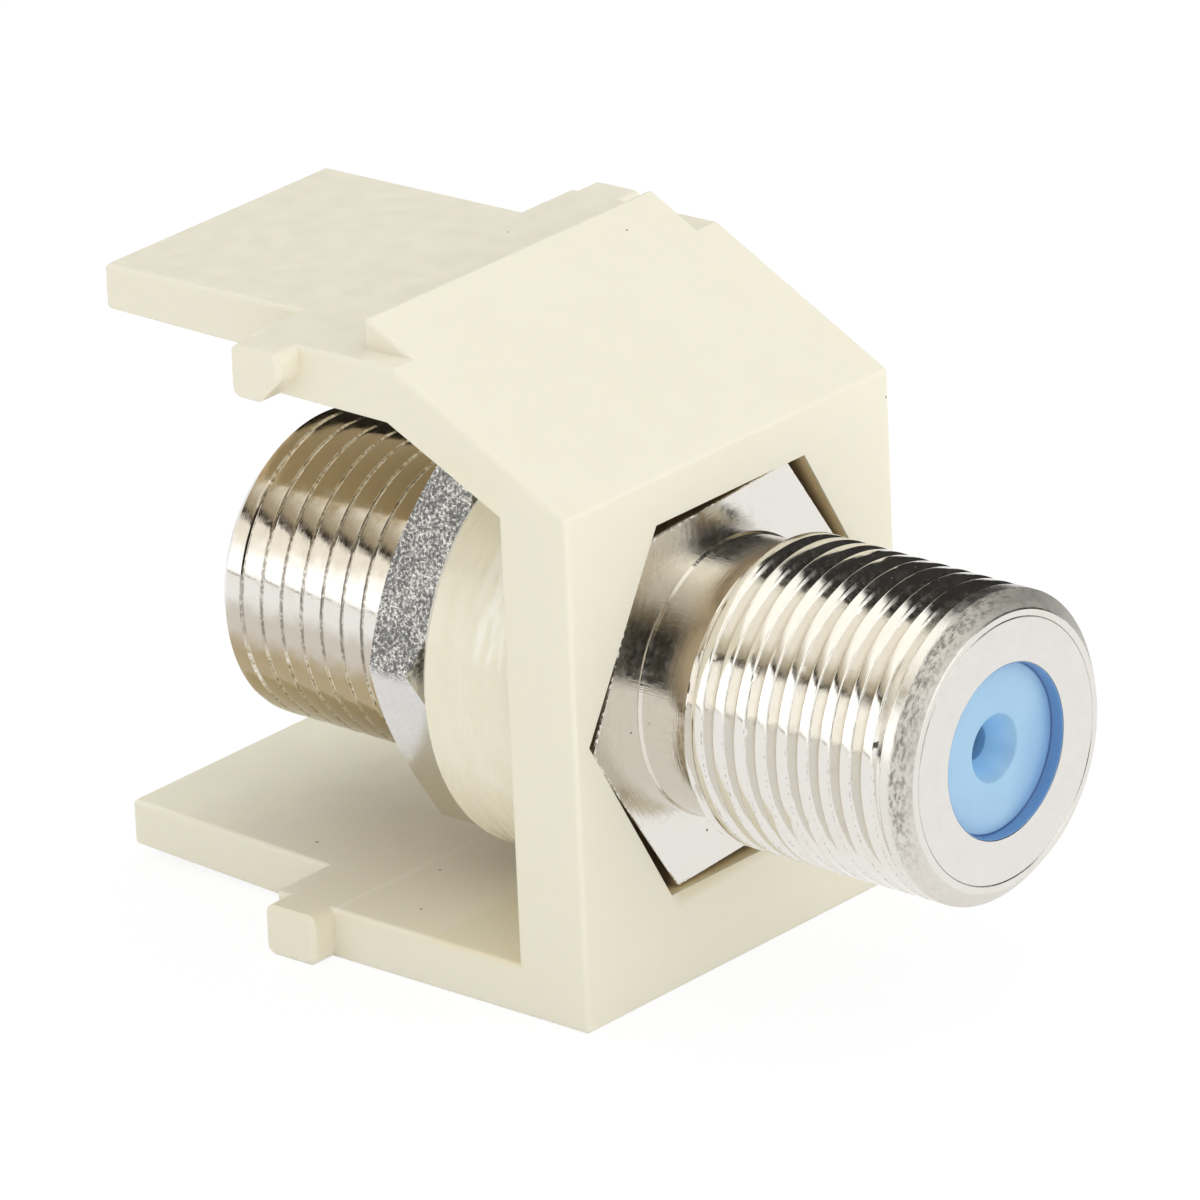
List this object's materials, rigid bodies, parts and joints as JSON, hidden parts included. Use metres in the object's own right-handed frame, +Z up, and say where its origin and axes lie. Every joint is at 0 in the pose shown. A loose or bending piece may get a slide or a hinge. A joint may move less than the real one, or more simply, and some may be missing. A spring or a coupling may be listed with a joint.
{
  "type": "f connector snap-in insert",
  "caption": "Snap-in wall-plate insert with a ramped latch arm, stop lugs and a nut-clamped threaded coaxial coupler that takes an F plug at either end.",
  "frame": {"origin": "on the flat underside of the housing's lower arm, below the middle of the whole insert", "axes": "+Y along the coupler's axis from the plug side to the wall side, +X across the housing, +Z up towards the latch arm"},
  "size_m": [0.0166, 0.03, 0.0204],
  "materials": {
    "ivory_plastic": "moulded ivory plastic, semi-matte, slightly rounded edges",
    "nickel_plate": "bright nickel plate on turned brass",
    "satin_ring": "satin nickel plate, faced off flat",
    "blue_plastic": "smooth sky-blue plastic",
    "contact_metal": "plated spring metal",
    "rough_nickel": "nickel plate over tumbled, pitted flats"
  },
  "bodies": {
    "root": {"housing": "ivory_plastic", "connector_body": "nickel_plate", "front_ring": "satin_ring", "front_insulator": "blue_plastic", "rear_insulator": "blue_plastic", "center_contact": "contact_metal", "hex_nut": "rough_nickel"}
  },
  "joints": []
}
